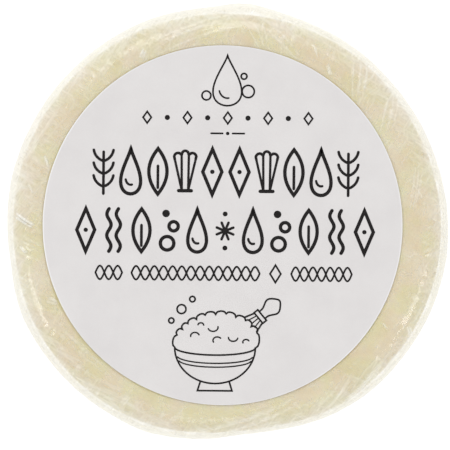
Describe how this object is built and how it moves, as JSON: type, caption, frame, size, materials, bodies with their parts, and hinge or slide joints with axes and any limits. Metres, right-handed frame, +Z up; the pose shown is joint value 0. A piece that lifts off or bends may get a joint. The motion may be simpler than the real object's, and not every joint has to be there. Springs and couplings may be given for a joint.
{
  "type": "shaving soap puck",
  "caption": "Round bar of hard shaving soap wrapped in clear stretch film, with a round paper label on top and a smaller one that seals the gathered film underneath.",
  "frame": {"origin": "centre of the round face that the puck stands on, on the underside of the base label", "axes": "+Z up through the puck's axis, towards the top label; +Y towards the top of the top label's print, +X to its right"},
  "size_m": [0.0602, 0.0602, 0.0208],
  "materials": {
    "soap": "satin",
    "clear_film": "gloss",
    "label_paper": "matte",
    "label_ink": "matte"
  },
  "bodies": {
    "root": {"soap_puck": "soap", "film_wrap": "clear_film", "top_label": "label_paper", "base_label": "label_paper"}
  },
  "joints": []
}
